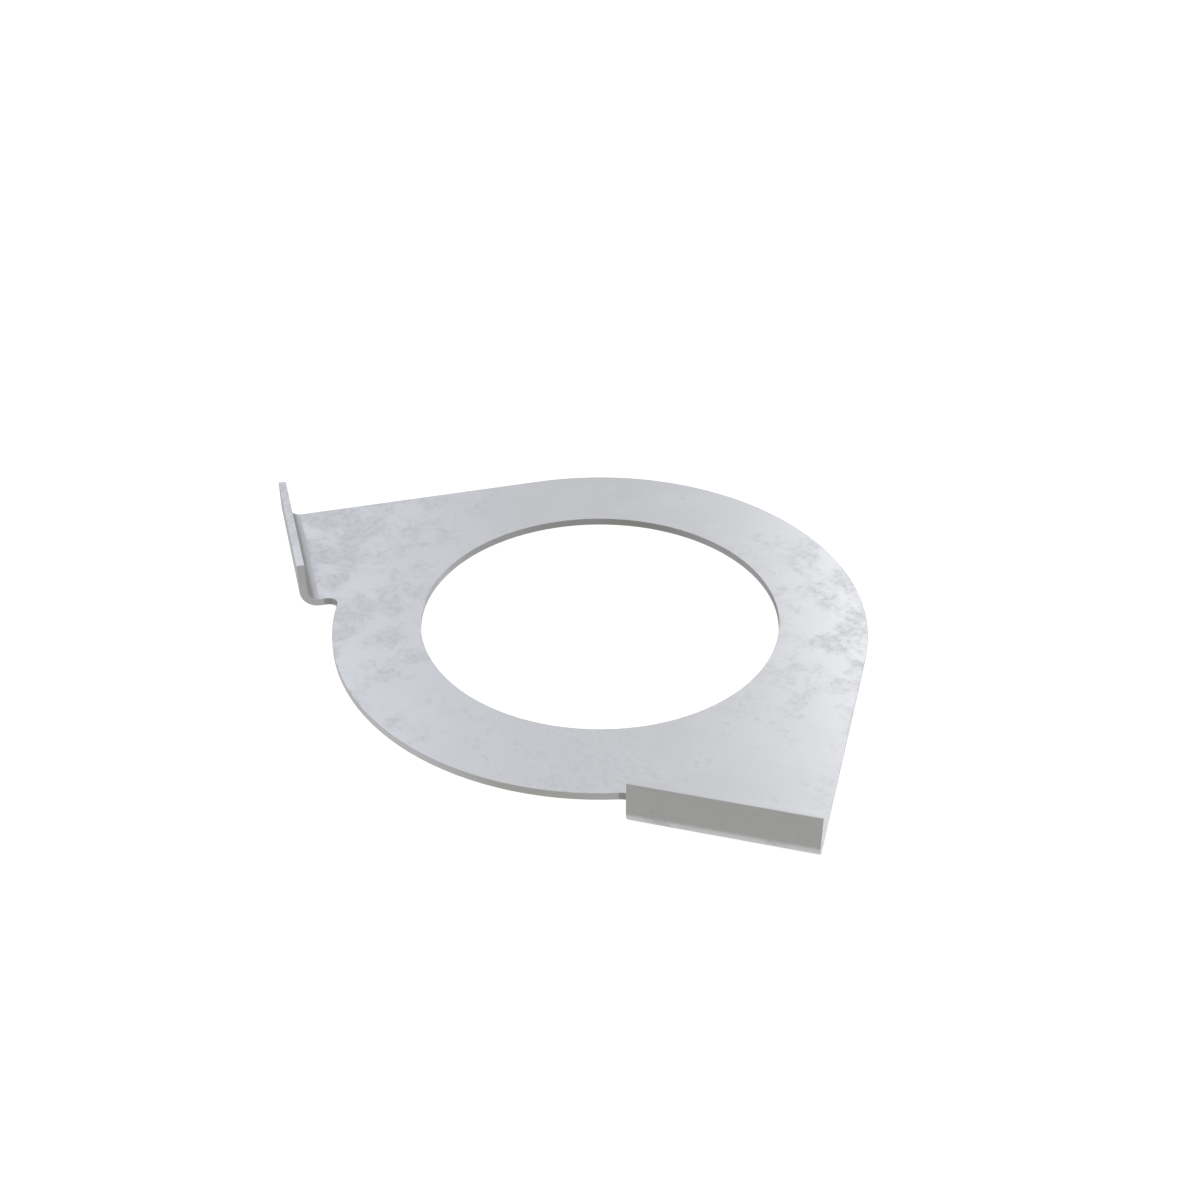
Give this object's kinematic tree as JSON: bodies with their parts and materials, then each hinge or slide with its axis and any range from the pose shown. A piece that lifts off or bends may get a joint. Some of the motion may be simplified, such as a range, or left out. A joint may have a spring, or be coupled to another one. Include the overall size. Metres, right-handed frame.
{
  "type": "thrust washer",
  "caption": "Flat sheet-metal thrust washer with a large round hole and diverging arms, each ending in a tab folded up to stop it turning.",
  "frame": {"origin": "centre of the hole on the underside of the sheet", "axes": "+Z along the hole's axis towards the side the tabs are folded to; X = 0 is the mirror plane, with the tabs on the -Y side"},
  "size_m": [0.1882, 0.134, 0.013],
  "materials": {
    "galvanised_sheet": "galvanised, soft satin with faint cloudy mottling"
  },
  "bodies": {
    "root": {"washer_plate": "galvanised_sheet"}
  },
  "joints": []
}
